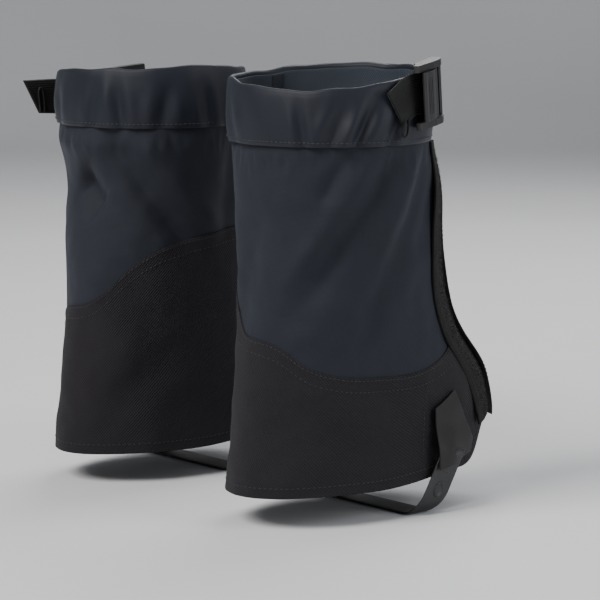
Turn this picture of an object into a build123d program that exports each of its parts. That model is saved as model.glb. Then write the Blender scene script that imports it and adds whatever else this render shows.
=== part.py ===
from build123d import *

import os
from math import cos, pi, radians, sin, sqrt

# A pair of hiking gaiters, in millimetres and degrees. +Y points to the toes, +X to the
# wearer's right and +Z up. Each gaiter is built about its own leg axis as a right-hand one,
# with +X lateral and Z = 0 under the instep strap, and the left one is its mirror image.

# Driving dimensions of the leg tube
LEG_SPACING = 178.0
COLLAR_RADIUS = 61.0
COLLAR_TOP = 268.0
COLLAR_BOTTOM = 229.0
FABRIC = 1.0
OUTLINE_POINTS = 20
SIDE_REACH = 120.0
FRONT_REACH = 160.0
# Height, heel side, toe side, half width and widest place of the tube's outer face
STATIONS = [
    (6, -73, 126, 50, 14),
    (30, -71, 123, 48.5, 12),
    (55, -68, 121, 47.5, 10),
    (80, -65, 113, 47, 7),
    (105, -62, 94, 47.5, 4),
    (135, -60, 79, 50, 2),
    (170, -59, 73.5, 53, 0),
    (205, -59.3, 69, 57, 0),
    (224, -59.4, 61.5, 59.4, 0),
    (236, -59.4, 59.4, 59.4, 0),
]

# Panel seams and hem as heel-to-toe curves of Y and Z
LATERAL_SEAM = [(-90, 118), (-60, 113), (-46, 99), (-28, 92), (0, 89), (30, 89), (62, 98), (80, 110), (130, 140)]
MEDIAL_SEAM = [(-90, 92), (-60, 113), (-46, 136), (-30, 150), (-10, 156), (20, 161), (60, 164), (130, 167)]
HEM = [(-90, 19), (-40, 20), (10, 20), (58, 24), (92, 29), (106, 42), (130, 66)]
HEM_FACING_HEIGHT = 14.0

# Front closure, seen from the toes: strips bounded by two edges of X and Z
TAPE_REAR = [(48, 226), (47, 180), (44, 130), (38, 95), (33, 47)]
TAPE_FRONT = [(20, 226), (19, 180), (16, 130), (12, 95), (9, 58)]
FLAP_ROOT = [(-28, 223), (-28, 108), (-26, 40)]
FLAP_FREE = [(26, 223), (24, 180), (20, 130), (14, 95), (9, 40)]
BINDING_WIDTH = 6.0
BINDING_GAP = 0.8
FLAP_SPLIT = (92.0, 96.0)
SPLIT_SLOPE = 24.0
SPLIT_GAP = 1.0
TAPE_THICK = 1.4
HOOK_LEVELS = (1.9, 2.6)
FLAP_LEVELS = (2.6, 3.6)
HOOK_STRIP_WIDTH = 14.0
CONTACT = 0.05

# Top strap, its casing and the cam buckle
WEBBING_WIDTH = 25.0
WEBBING_THICK = 1.3
STRAP_RADIUS = 63.3
STRAP_HEIGHT = 259.0
BUCKLE_ANGLE = 22.0
BUCKLE_TILT = 7.0
STRAP_END_ANGLE = 166.0
TAIL_START_ANGLE = 5.0
TAIL_LENGTHS = {"right": 13.0, "left": 52.0}
STRAP_DROPS = {"right": 0.0, "left": 17.0}
STRAP_GROUP = (
    "strap_casing", "buckle_frame", "buckle_pin", "buckle_tab", "cam_lever", "top_strap", "pull_loop",
)
CASING_ANGLES = (100.0, 180.0)
CASING_THICK = 1.0
CASING_GAP = 0.5
CHEEK_INNER = 15.0
CHEEK_THICK = 4.2
PIN_PLACE = (67.9, 3.0)
PIN_RADIUS = 1.5
RUNNING_GAP = 0.05
HUB_RADIUS = 2.7

# Instep strap
STRAP_PIVOT = (54.0, 31.0)
INSTEP_WIDTH = 20.0
INSTEP_THICK = 1.8
INSTEP_HALF = 49.6
INSTEP_CORNER = 13.0
INSTEP_SETBACK = 18.0
RIVET_RADIUS = 2.0
RIVET_CAP_RADIUS = 4.5
PATCH_THICK = 1.2
PATCH = [(44, 20), (45, 65), (65, 74), (84, 41), (70, 20)]

# Lace hook
HOOK_PIVOT_HEIGHT = 53.0
LACE_TAB_FRONT = 114.6
LACE_TAB_THICK = 1.2
LACE_HOOK_THICK = 1.2
LACE_RIVET_RADIUS = 1.5


def outline(station, offset):
    """Closed curve round the leg at one height, moved out by offset."""
    height, heel, toe, half_width, widest = station
    points = []
    for step in range(OUTLINE_POINTS):
        turn = 2 * pi * step / OUTLINE_POINTS
        reach = toe - widest if cos(turn) > 0 else widest - heel
        points.append(
            (
                (half_width + offset) * sin(turn),
                widest + (reach + offset) * cos(turn),
                height,
            )
        )
    return Wire([Edge.make_spline(points, periodic=True)])


def layer(inner, outer):
    """Fabric that lies between two distances out from the leg tube's face."""
    outside = Solid.make_loft([outline(station, outer) for station in STATIONS])
    inside = Solid.make_loft([outline(station, inner) for station in STATIONS])
    return outside - inside


def surface_y(height, x, offset):
    """Y of the front of the leg tube at a height and a place across it."""
    below = max(s for s in STATIONS if s[0] <= height)
    above = min(s for s in STATIONS if s[0] > height)
    share = (height - below[0]) / (above[0] - below[0])
    heel, toe, half_width, widest = (b + share * (a - b) for b, a in zip(below[1:], above[1:]))
    return widest + (toe - widest + offset) * sqrt(1 - (x / (half_width + offset)) ** 2)


def side_zone(curve, lift, sides):
    """Space under a heel-to-toe curve, on the lateral (1) or medial (-1) side or both."""
    lifted = [(y, z + lift) for y, z in curve]
    floor = -20
    edges = Spline(*lifted) + Polyline(
        lifted[-1], (lifted[-1][0], floor), (lifted[0][0], floor), lifted[0]
    )
    face = make_face(Plane.YZ * edges)
    zone = [extrude(face, amount=SIDE_REACH, dir=(side, 0, 0)) for side in sides]
    return zone[0] if len(zone) == 1 else zone[0] + zone[1]


def side_block(points, side):
    """Straight-edged block seen from the side, on one side of the leg."""
    face = make_face(Plane.YZ * Polyline(*points, close=True))
    return extrude(face, amount=SIDE_REACH, dir=(side, 0, 0))


def front_block(left_edge, right_edge):
    """Block in front of the leg between two edges given as X and Z."""
    face = make_face(Plane.XZ * Polyline(*left_edge, *reversed(right_edge), close=True))
    return extrude(face, amount=FRONT_REACH, dir=(0, 1, 0))


def arc_band(inner, outer, low, high, start, end):
    """Part of a ring about the leg axis, between two angles from +X."""
    profile = Plane.XZ * Pos((inner + outer) / 2, (low + high) / 2) * Rectangle(outer - inner, high - low)
    return Rot(0, 0, start) * revolve(profile, axis=Axis.Z, revolution_arc=end - start)


def rod(radius, start, end):
    """Round bar from one point to another."""
    direction = Vector(*end) - Vector(*start)
    plane = Plane(origin=start, z_dir=direction)
    return extrude(plane * Circle(radius), amount=direction.length)


def shifted(edge, move):
    """Front edge moved across the leg."""
    return [(x + move, z) for x, z in edge]


def fabric_panels():
    """Upper and lower panels with the turned hem inside."""
    wall = layer(-FABRIC, 0)
    hem_space = side_zone(HEM, 0, (1, -1))
    seam_space = side_zone(LATERAL_SEAM, 0, (1,)) + side_zone(MEDIAL_SEAM, 0, (-1,))
    facing = layer(-FABRIC - 0.8, -FABRIC - CONTACT)
    facing = facing & side_zone(HEM, HEM_FACING_HEIGHT, (1, -1))
    lower = wall & seam_space
    for side in (1, -1):
        lower = lower - strap_rivet_shank(side)
    return {
        "upper_panel": wall - seam_space,
        "lower_panel": lower - hem_space,
        "hem_facing": facing - hem_space,
    }


def collar():
    """Folded collar, its lining and the strap casing on the medial half."""
    outer = arc_band(COLLAR_RADIUS - 0.9, COLLAR_RADIUS, COLLAR_BOTTOM, COLLAR_TOP, 0, 360)
    fold = arc_band(COLLAR_RADIUS - 3.6, COLLAR_RADIUS - 0.9, COLLAR_TOP - 1.2, COLLAR_TOP, 0, 360)
    lining_outer = COLLAR_RADIUS - FABRIC - 1.9
    lining = arc_band(lining_outer - 1.1, lining_outer, COLLAR_BOTTOM - 4, COLLAR_TOP - 1.2, 0, 360)
    inner = STRAP_RADIUS + WEBBING_THICK + CASING_GAP
    low = STRAP_HEIGHT - WEBBING_WIDTH / 2 - 2.5
    high = STRAP_HEIGHT + WEBBING_WIDTH / 2 + 1.0
    start, end = CASING_ANGLES
    casing = arc_band(inner, inner + CASING_THICK, low, high, start, end)
    casing += arc_band(COLLAR_RADIUS + CONTACT, inner, low, low + 1.5, start, end)
    casing += arc_band(COLLAR_RADIUS + CONTACT, inner, low, COLLAR_TOP, end - 2, end)
    return {"collar": outer + fold, "collar_lining": lining, "strap_casing": casing}


def front_closure():
    """Loop tape, flap, hook strips and the binding that sews the flap down."""
    hem_space = side_zone(HEM, 0, (1, -1))
    flap = layer(*FLAP_LEVELS) & front_block(FLAP_ROOT, FLAP_FREE)
    flap = flap - side_zone(HEM, -3, (1, -1))
    strip_edge = shifted(FLAP_FREE, -HOOK_STRIP_WIDTH)
    hooks = layer(*HOOK_LEVELS) & front_block(strip_edge, shifted(FLAP_FREE, -1.5))
    hooks = hooks - side_zone(HEM, 2, (1, -1))
    binding_edges = [shifted(FLAP_ROOT, -BINDING_GAP - BINDING_WIDTH), shifted(FLAP_ROOT, -BINDING_GAP)]
    binding = layer(CONTACT, FLAP_LEVELS[1]) & front_block(*binding_edges)
    tape = layer(CONTACT, TAPE_THICK) & front_block(TAPE_FRONT, TAPE_REAR)
    split = Pos(0, *FLAP_SPLIT) * Rot(SPLIT_SLOPE, 0, 0)
    upper_space = split * Pos(0, 0, 150) * Box(400, 400, 300)
    corner_space = split * Pos(0, 0, -150 - SPLIT_GAP) * Box(400, 400, 300)
    return {
        "loop_tape": tape,
        "flap_binding": binding - hem_space,
        "front_flap": flap & upper_space,
        "flap_corner": flap & corner_space,
        "hook_strip": hooks & upper_space,
        "corner_hook_strip": hooks & corner_space,
    }


def place_buckle(shape):
    """Turn a piece drawn about +X, at height 0, to the buckle's place on the collar."""
    tilt = Pos(STRAP_RADIUS, 0, 0) * Rot(BUCKLE_TILT, 0, 0) * Pos(-STRAP_RADIUS, 0, 0)
    return Pos(0, 0, STRAP_HEIGHT) * Rot(0, 0, BUCKLE_ANGLE) * tilt * shape


def cam_buckle():
    """Frame, pin and lever of the cam buckle and the tab under it."""
    full = CHEEK_INNER + CHEEK_THICK
    cheek_outline = Polyline(
        (61.0, 14.5), (68.4, 14.5), (70.7, 8.0), (70.7, 0.0), (69.4, -9.0), (68.6, -17.0),
        (65.2, -17.0), (64.2, -12.0), (61.6, -8.5), (61.9, 3.0), close=True,
    )
    cheek_face = fillet(make_face(cheek_outline).vertices(), 0.9)
    cheek = extrude(cheek_face, amount=CHEEK_THICK)
    frame = Pos(0, 0, CHEEK_INNER) * cheek + Pos(0, 0, -full) * cheek
    frame += arc_band(61.8, 62.9, -CHEEK_INNER, CHEEK_INNER, -9, 12.5)
    frame += Pos(66.1, 12.7, 0) * Box(3.4, 3.2, 2 * CHEEK_INNER)
    pin = Pos(*PIN_PLACE, -full) * Cylinder(PIN_RADIUS, 2 * full, align=(Align.CENTER, Align.CENTER, Align.MIN))
    frame = frame - pin

    back = ThreePointArc((68.9, 5.4), (71.3, -2.0), (71.6, -12.4))
    belly = ThreePointArc((69.7, -12.4), (69.0, -5.0), (66.9, 0.7))
    plate = make_face(back + Line(back @ 1, belly @ 0) + belly + Line(belly @ 1, back @ 0))
    profile = plate + Pos(*PIN_PLACE) * Circle(HUB_RADIUS) + Pos(70.6, -12.7) * Circle(1.8)
    profile = profile - Pos(*PIN_PLACE) * Circle(PIN_RADIUS + RUNNING_GAP)
    lever = extrude(profile, amount=CHEEK_INNER - 0.4, both=True)

    tab = Pos(0, 0, STRAP_HEIGHT) * arc_band(
        COLLAR_RADIUS + 0.04, COLLAR_RADIUS + 0.3, -11, 8, BUCKLE_ANGLE - 16, BUCKLE_ANGLE + 11
    )
    return {
        "buckle_frame": place_buckle(frame),
        "buckle_pin": place_buckle(pin),
        "cam_lever": place_buckle(lever),
        "buckle_tab": tab,
    }


def top_strap(tail_length):
    """Webbing round the front of the collar, with its free tail and pull loop."""
    outer = STRAP_RADIUS + WEBBING_THICK
    low = STRAP_HEIGHT - WEBBING_WIDTH / 2
    strap = arc_band(STRAP_RADIUS, outer, low, low + WEBBING_WIDTH, TAIL_START_ANGLE, STRAP_END_ANGLE)
    middle = STRAP_RADIUS + WEBBING_THICK / 2
    tail = Pos(middle, -tail_length / 2, STRAP_HEIGHT) * Box(WEBBING_THICK, tail_length, WEBBING_WIDTH)
    strap += Rot(0, 0, TAIL_START_ANGLE) * tail
    loop_wire = 1.0
    loop_face = SlotOverall(18, 5) - SlotOverall(18 - 2 * loop_wire, 5 - 2 * loop_wire)
    loop = extrude(Plane.YZ * Rot(0, 0, 90) * loop_face, amount=loop_wire)
    loop_place = Pos(STRAP_RADIUS - loop_wire - CONTACT, 4 - tail_length, low + 4)
    return {
        "top_strap": strap,
        "pull_loop": Rot(0, 0, TAIL_START_ANGLE) * loop_place * loop,
    }


def strap_rivet_shank(side):
    """Shank of the rivet that joins the instep strap, through the panel and the patch."""
    start = side * (INSTEP_HALF - 5.2)
    end = side * (INSTEP_HALF + INSTEP_THICK / 2 + 0.3)
    return rod(RIVET_RADIUS, (start, *STRAP_PIVOT), (end, *STRAP_PIVOT))


def instep_section(x, z, slope):
    """Cross-section of the instep strap, with its face turned down by slope."""
    centre_y = STRAP_PIVOT[0] - INSTEP_SETBACK * (STRAP_PIVOT[1] - z) / STRAP_PIVOT[1]
    normal = Vector(cos(slope), 0, -sin(slope)) * (INSTEP_THICK / 2)
    half = Vector(0, INSTEP_WIDTH / 2, 0)
    middle = Vector(x, centre_y, z)
    corners = [middle + normal + half, middle + normal - half, middle - normal - half, middle - normal + half]
    return Wire.make_polygon(corners, close=True)


def instep_strap():
    """Moulded strap that leans back and passes under the arch, riveted at both ends."""
    low = INSTEP_THICK / 2
    centre = (INSTEP_HALF - INSTEP_CORNER, low + INSTEP_CORNER)
    turns = [radians(step) for step in range(0, 91, 18)]
    half = [(INSTEP_HALF, STRAP_PIVOT[1], 0.0)]
    half += [
        (centre[0] + INSTEP_CORNER * cos(turn), centre[1] - INSTEP_CORNER * sin(turn), turn)
        for turn in turns
    ]
    other = [(-x, z, pi - slope) for x, z, slope in reversed(half)]
    strap = Solid.make_loft([instep_section(*place) for place in half + other], ruled=True)
    pieces = {}
    for side, name in ((1, "lateral"), (-1, "medial")):
        start = side * (INSTEP_HALF - INSTEP_THICK / 2)
        end = side * (INSTEP_HALF + INSTEP_THICK / 2)
        strap += rod(INSTEP_WIDTH / 2, (start, *STRAP_PIVOT), (end, *STRAP_PIVOT))
        strap -= rod(
            RIVET_RADIUS + RUNNING_GAP, (start - side, *STRAP_PIVOT), (end + side, *STRAP_PIVOT)
        )
        cap_start = end + 0.3 * side
        rivet = strap_rivet_shank(side)
        rivet += rod(
            RIVET_CAP_RADIUS, (cap_start, *STRAP_PIVOT), (cap_start + side, *STRAP_PIVOT)
        )
        patch = layer(CONTACT, PATCH_THICK) & side_block(PATCH, side)
        patch = patch - side_zone(HEM, 0, (side,)) - strap_rivet_shank(side)
        pieces["anchor_patch_" + name] = patch
        pieces["strap_rivet_" + name] = rivet
    pieces["instep_strap"] = strap
    return pieces


def lace_hook():
    """Hook for the boot's laces, riveted to a tab inside the front of the hem."""
    tab_back = LACE_TAB_FRONT - LACE_TAB_THICK
    tab = Pos(0, tab_back + LACE_TAB_THICK / 2, 53) * Box(12, LACE_TAB_THICK, 18)
    hook_front = tab_back - 0.4
    hook_back = hook_front - LACE_HOOK_THICK
    bend_low = 36.0
    top = 58.0
    centre = (hook_back - 2.4, bend_low)
    outer = 2.4 + LACE_HOOK_THICK
    side_view = Plane.YZ * (
        Pos((hook_front + hook_back) / 2, (bend_low + top) / 2) * Rectangle(LACE_HOOK_THICK, top - bend_low)
        + (Pos(*centre) * (Circle(outer) - Circle(2.4)) & Pos(centre[0], centre[1] - 5) * Rectangle(20, 10))
        + Pos(centre[0] - 2.4 - LACE_HOOK_THICK / 2, bend_low + 2.5) * Rectangle(LACE_HOOK_THICK, 5)
    )
    hook = extrude(side_view, amount=3.5, both=True)
    start = (0, LACE_TAB_FRONT + 0.6, HOOK_PIVOT_HEIGHT)
    end = (0, hook_back - 0.4, HOOK_PIVOT_HEIGHT)
    rivet = rod(LACE_RIVET_RADIUS, start, end)
    hook = hook - rod(LACE_RIVET_RADIUS + RUNNING_GAP, start, (0, hook_back - 1, HOOK_PIVOT_HEIGHT))
    tab = tab - rivet
    rivet += rod(2.6, end, (0, hook_back - 1.2, HOOK_PIVOT_HEIGHT))
    return {"lace_tab": tab, "lace_hook": hook, "lace_rivet": rivet}


def gaiter():
    """The pieces that both gaiters share, right-handed and about the leg axis."""
    pieces = {}
    for group in (fabric_panels, collar, front_closure, cam_buckle, instep_strap, lace_hook):
        pieces.update(group())
    return pieces


def main():
    os.makedirs("parts", exist_ok=True)
    shared = gaiter()
    for side, tail_length in TAIL_LENGTHS.items():
        for name, shape in {**shared, **top_strap(tail_length)}.items():
            if name in STRAP_GROUP:
                shape = Pos(0, 0, -STRAP_DROPS[side]) * shape
            if side == "left":
                placed = Pos(-LEG_SPACING / 2, 0, 0) * mirror(shape, about=Plane.YZ)
            else:
                placed = Pos(LEG_SPACING / 2, 0, 0) * shape
            export_step(placed, f"parts/{side}_{name}.step")


main()
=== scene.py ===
from math import cos, pi, radians, sin

import bmesh
import bpy
import numpy as np
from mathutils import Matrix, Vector, noise


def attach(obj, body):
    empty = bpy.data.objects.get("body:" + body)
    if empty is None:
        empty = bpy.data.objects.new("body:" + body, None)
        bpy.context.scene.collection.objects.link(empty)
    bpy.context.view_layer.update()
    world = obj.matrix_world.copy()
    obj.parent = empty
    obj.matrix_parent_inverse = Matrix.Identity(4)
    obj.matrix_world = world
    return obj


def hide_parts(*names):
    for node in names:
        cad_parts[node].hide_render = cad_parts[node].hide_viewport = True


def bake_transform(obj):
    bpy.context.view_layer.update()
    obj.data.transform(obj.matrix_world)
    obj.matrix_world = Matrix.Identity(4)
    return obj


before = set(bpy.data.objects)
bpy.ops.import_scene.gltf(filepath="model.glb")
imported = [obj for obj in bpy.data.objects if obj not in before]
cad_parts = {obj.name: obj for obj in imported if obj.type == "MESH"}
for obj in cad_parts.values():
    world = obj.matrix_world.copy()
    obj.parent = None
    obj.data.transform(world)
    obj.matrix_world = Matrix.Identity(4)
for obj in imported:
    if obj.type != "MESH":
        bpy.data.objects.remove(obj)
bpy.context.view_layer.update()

MM = 0.001
SIDES = {"right": 1, "left": -1}

# The leg tube of one right-hand gaiter about its own leg axis, in millimetres:
# height, heel side, toe side, half width and widest place
STATIONS = np.array([
    (6, -73, 126, 50, 14),
    (30, -71, 123, 48.5, 12),
    (55, -68, 121, 47.5, 10),
    (80, -65, 113, 47, 7),
    (105, -62, 94, 47.5, 4),
    (135, -60, 79, 50, 2),
    (170, -59, 73.5, 53, 0),
    (205, -59.3, 69, 57, 0),
    (224, -59.4, 61.5, 59.4, 0),
    (236, -59.4, 59.4, 59.4, 0),
], dtype=float)
LEG_SHIFT = 89.0
COLLAR_RADIUS = 61.0
COLLAR_BOTTOM = 229.0
LATERAL_SEAM = [
    (-90, 118), (-60, 113), (-46, 99), (-28, 92), (0, 89), (30, 89), (62, 98), (80, 110), (130, 140),
]
MEDIAL_SEAM = [(-90, 92), (-60, 113), (-46, 136), (-30, 150), (-10, 156), (20, 161), (60, 164), (130, 167)]
HEM = [(-90, 19), (-40, 20), (10, 20), (58, 24), (92, 29), (106, 42), (130, 66)]
TAPE_REAR = [(45.5, 226), (44.5, 180), (41.5, 130), (36.5, 95), (33, 47)]
TAPE_FRONT = [(20, 226), (19, 180), (16, 130), (12, 95), (9, 58)]
FLAP_ROOT = [(-28, 223), (-28, 108), (-26, 40)]
FLAP_FREE = [(26, 223), (24, 180), (20, 130), (14, 95), (9, 40)]
STRAP_RADIUS = 63.3
STRAP_HEIGHTS = {"right": 259.0, "left": 242.0}
TAIL_START_ANGLE = 5.0
TAIL_LENGTHS = {"right": 13.0, "left": 52.0}
STRAP_END_ANGLE = 166.0
CASING_START_ANGLE = 100.0
INSTEP_PIVOT = (54.0, 31.0)
INSTEP_HALF = 49.6
INSTEP_CORNER = 13.0
INSTEP_SETBACK = 18.0
INSTEP_WIDTH = 20.0
INSTEP_THICK = 1.8

# Folds of each shell: turn in degrees and height of both ends, depth and width in millimetres
FOLDS = {
    "right": [
        ((88, 224), (140, 138), -2.6, 9),
        ((100, 226), (150, 150), 1.6, 8),
        ((62, 214), (104, 112), -2.4, 9),
        ((70, 226), (92, 160), 1.4, 7),
        ((120, 226), (134, 196), -1.4, 5),
        ((48, 206), (66, 160), -1.6, 8),
        ((150, 120), (110, 62), 1.2, 12),
        ((96, 84), (64, 44), -1.2, 12),
        ((178, 190), (200, 120), -2.4, 16),
        ((262, 220), (232, 130), -2.2, 10),
        ((300, 210), (270, 120), 1.6, 12),
    ],
    "left": [
        ((206, 222), (262, 150), -2.8, 8),
        ((222, 224), (284, 160), 1.6, 8),
        ((176, 196), (196, 178), -4.5, 12),
        ((190, 150), (230, 70), 1.4, 14),
        ((292, 220), (286, 150), -1.8, 8),
        ((250, 90), (222, 46), -1.2, 12),
        ((88, 224), (130, 140), -2.4, 10),
        ((60, 210), (96, 120), -2.2, 10),
    ],
}
# Gathers of the collar: turn in degrees, lean, depth and width in millimetres
GATHERS = {
    "right": [(146, 4, -1.6, 3.0), (128, -10, -2.6, 4.5), (112, -14, -3.0, 4.0), (92, -12, -2.2, 4.0),
              (200, 6, -1.4, 5.0), (240, -6, -1.6, 5.0), (282, 5, -1.8, 5.0)],
    "left": [(196, 6, -1.8, 4.0), (214, -4, -2.4, 4.0), (240, 6, -1.8, 5.0), (268, -5, -1.8, 4.5),
             (130, 6, -2.2, 4.5), (100, -8, -2.4, 4.5), (160, 3, -1.6, 5.0)],
}


# ---- curves and surfaces
def cubic(points):
    """Smooth curve through points as a function of their first coordinate."""
    table = np.array(points, dtype=float)
    x, y = table[:, 0], table[:, 1]
    slope = np.gradient(y, x)

    def curve(at):
        at = np.clip(at, x[0], x[-1])
        k = np.clip(np.searchsorted(x, at) - 1, 0, len(x) - 2)
        h = x[k + 1] - x[k]
        s = (at - x[k]) / h
        return (
            (1 + 2 * s) * (1 - s) ** 2 * y[k]
            + s * (1 - s) ** 2 * h * slope[k]
            + s**2 * (3 - 2 * s) * y[k + 1]
            + s**2 * (s - 1) * h * slope[k + 1]
        )

    return curve


HEEL, TOE, HALF_WIDTH, WIDEST = (cubic(STATIONS[:, (0, column)]) for column in (1, 2, 3, 4))
LATERAL_HEIGHT, MEDIAL_HEIGHT, HEM_HEIGHT = cubic(LATERAL_SEAM), cubic(MEDIAL_SEAM), cubic(HEM)


def step(value, start, end):
    """Smooth rise from 0 to 1 between two values."""
    share = np.clip((value - start) / (end - start), 0, 1)
    return share * share * (3 - 2 * share)


def ripple(points, scale, seed):
    """Smooth noise at each point, from about -1 to 1."""
    shift = Vector((seed, 2.7 * seed, 5.1 * seed))
    return np.array([noise.noise(Vector(p) * scale + shift) for p in points])


def tube_point(turn, height, offset):
    """Point of the leg tube; turn runs from the toes (0) past the lateral side (90) to the heel."""
    angle = np.radians(turn)
    reach = np.where(np.cos(angle) > 0, TOE(height) - WIDEST(height), WIDEST(height) - HEEL(height))
    x = (HALF_WIDTH(height) + offset) * np.sin(angle)
    y = WIDEST(height) + (reach + offset) * np.cos(angle)
    return x, y


def fold_depth(side, turn, height):
    """How far the cloth stands out of the plain tube, for its creases and sags."""
    total = np.zeros(np.broadcast(turn, height).shape)
    turn = np.mod(turn, 360)
    for (turn_a, high_a), (turn_b, high_b), depth, width in FOLDS[side]:
        ax, ay, bx, by = turn_a * 1.02, high_a, turn_b * 1.02, high_b
        px, py = turn * 1.02 - ax, height - ay
        dx, dy = bx - ax, by - ay
        share = (px * dx + py * dy) / (dx * dx + dy * dy)
        across = (px * dy - py * dx) / np.hypot(dx, dy)
        along = np.exp(-np.clip(np.abs(share - 0.5) - 0.32, 0, None) ** 2 / 0.045)
        total += 1.7 * depth * along * np.exp(-((across / width) ** 2))
    if side == "left":
        total += -7.0 * np.exp(-(((turn - 180) / 34) ** 2) - ((height - 188) / 20) ** 2)
        total += 2.5 * np.exp(-(((turn - 182) / 40) ** 2) - ((height - 219) / 9) ** 2)
    front = np.exp(-((np.minimum(turn, 360 - turn) / 50) ** 2))
    return total * (1 - 0.9 * front)


STRAP_PRESS = 2.6


def strap_press(turns, heights):
    """Where the instep strap's swing holds the cloth in, from 0 to 1."""
    sideways = np.abs(np.abs(np.mod(turns, 360) - 180) - 110)
    return (1 - step(sideways, 34, 58)) * (1 - step(heights, 44, 68))


def shell_grid(side, turns, heights, lift):
    """World points in metres of the cloth surface on a grid of turns and heights."""
    x, y = tube_point(turns, heights, lift)
    depth = fold_depth(side, turns, heights)
    depth = depth * (0.35 + 0.65 * step(heights, 20, 60)) * (1 - 0.55 * step(heights, 214, 230))
    flat = np.stack([x.ravel() / 60, y.ravel() / 60, heights.ravel() / 60], 1)
    seed = 3.1 if side == "right" else 9.4
    wave = ripple(flat, 2.1, seed) * 1.5 + ripple(flat, 5.1, seed + 4) * 0.55
    pucker = np.exp(-(((flat[:, 2] * 60 - 219) / 7) ** 2)) * ripple(flat * (1, 1, 0.25), 13.0, seed + 8)
    wave = wave + 0.9 * pucker
    front = np.exp(-((np.minimum(np.mod(turns, 360), 360 - np.mod(turns, 360)) / 48) ** 2))
    depth = depth + wave.reshape(x.shape) * (1 - 0.85 * front)
    pressed = strap_press(turns, heights)
    depth = depth * (1 - pressed) - STRAP_PRESS * pressed
    angle = np.radians(turns)
    normal_x, normal_y = np.sin(angle), np.cos(angle)
    return place(side, x + depth * normal_x, y + depth * normal_y, heights)


def place(side, x, y, z):
    """Local millimetres of a right-hand gaiter to world metres on either side."""
    sign = SIDES[side]
    return np.stack([sign * (LEG_SHIFT + x), y, z + 0 * x], -1) * MM


def place_spot(side, spot):
    """World point of one local point, as plain numbers."""
    return tuple(place(side, *map(np.array, map(float, spot))))


def place_round(side, radius, angle, height):
    """World points at a radius and angle about the leg's axis, with angle 0 at the toes."""
    return place(side, radius * np.sin(angle), radius * np.cos(angle), height)


def curve_height(turns, lateral, medial):
    """Height at which a heel-to-toe curve crosses each turn of the tube."""
    height = np.full(turns.shape, 110.0)
    for _ in range(40):
        x, y = tube_point(turns, height, 0)
        aim = medial(y) + (lateral(y) - medial(y)) * step(x, -7, 7)
        height = 0.6 * height + 0.4 * aim
    return height


# ---- mesh helpers
def mesh_piece(name, vertices, faces, uv=None, smooth=True):
    """Object in the scene from vertices, faces and cloth coordinates."""
    mesh = bpy.data.meshes.new(name)
    mesh.from_pydata([tuple(map(float, v)) for v in vertices], [], faces)
    mesh.update()
    if uv is not None:
        layer = mesh.uv_layers.new(name="cloth")
        index = np.empty(len(mesh.loops), dtype=np.int32)
        mesh.loops.foreach_get("vertex_index", index)
        layer.data.foreach_set("uv", np.asarray(uv, dtype=np.float32)[index].ravel())
    if smooth:
        mesh.polygons.foreach_set("use_smooth", [True] * len(mesh.polygons))
    piece = bpy.data.objects.new(name, mesh)
    bpy.context.scene.collection.objects.link(piece)
    return piece


def grid_faces(rows, columns, closed=False, flip=False):
    """Quads between the points of a grid, joined round when closed."""
    faces = []
    for r in range(rows - 1):
        for c in range(columns if closed else columns - 1):
            d = (c + 1) % columns
            quad = (r * columns + c, r * columns + d, (r + 1) * columns + d, (r + 1) * columns + c)
            faces.append(quad[::-1] if flip else quad)
    return faces


def sheet_piece(name, points, uv, thickness, side, closed=False, rim=True):
    """Cloth of a thickness from a grid of points on its outer face."""
    rows, columns = points.shape[:2]
    flip = side == "right"
    faces = grid_faces(rows, columns, closed, flip)
    piece = mesh_piece(name, points.reshape(-1, 3), faces, uv.reshape(-1, 2))
    solid = piece.modifiers.new("thickness", "SOLIDIFY")
    solid.thickness = thickness * MM
    solid.offset = -1
    solid.use_rim = rim
    bevel = piece.modifiers.new("edge", "BEVEL")
    bevel.width = 0.3 * thickness * MM
    bevel.segments = 2
    bevel.limit_method = "ANGLE"
    bevel.angle_limit = radians(50)
    return piece


def rings_piece(name, sections, uv_scale=1.0, caps=True):
    """Solid swept through closed sections that all have the same number of points."""
    sections = np.asarray(sections)
    rows, columns = sections.shape[:2]
    faces = grid_faces(rows, columns, closed=True)
    if caps:
        faces.append(tuple(reversed(range(columns))))
        faces.append(tuple((rows - 1) * columns + c for c in range(columns)))
    length = np.concatenate([[0], np.cumsum(np.linalg.norm(np.diff(sections.mean(1), axis=0), axis=1))])
    around = np.linspace(0, 1, columns)
    uv = np.stack(np.meshgrid(around * 0.03, length * uv_scale), -1)
    piece = mesh_piece(name, sections.reshape(-1, 3), faces, uv.reshape(-1, 2))
    fix_normals(piece)
    return piece


def fix_normals(piece):
    mesh = bmesh.new()
    mesh.from_mesh(piece.data)
    bmesh.ops.recalc_face_normals(mesh, faces=mesh.faces)
    mesh.to_mesh(piece.data)
    mesh.free()


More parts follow.
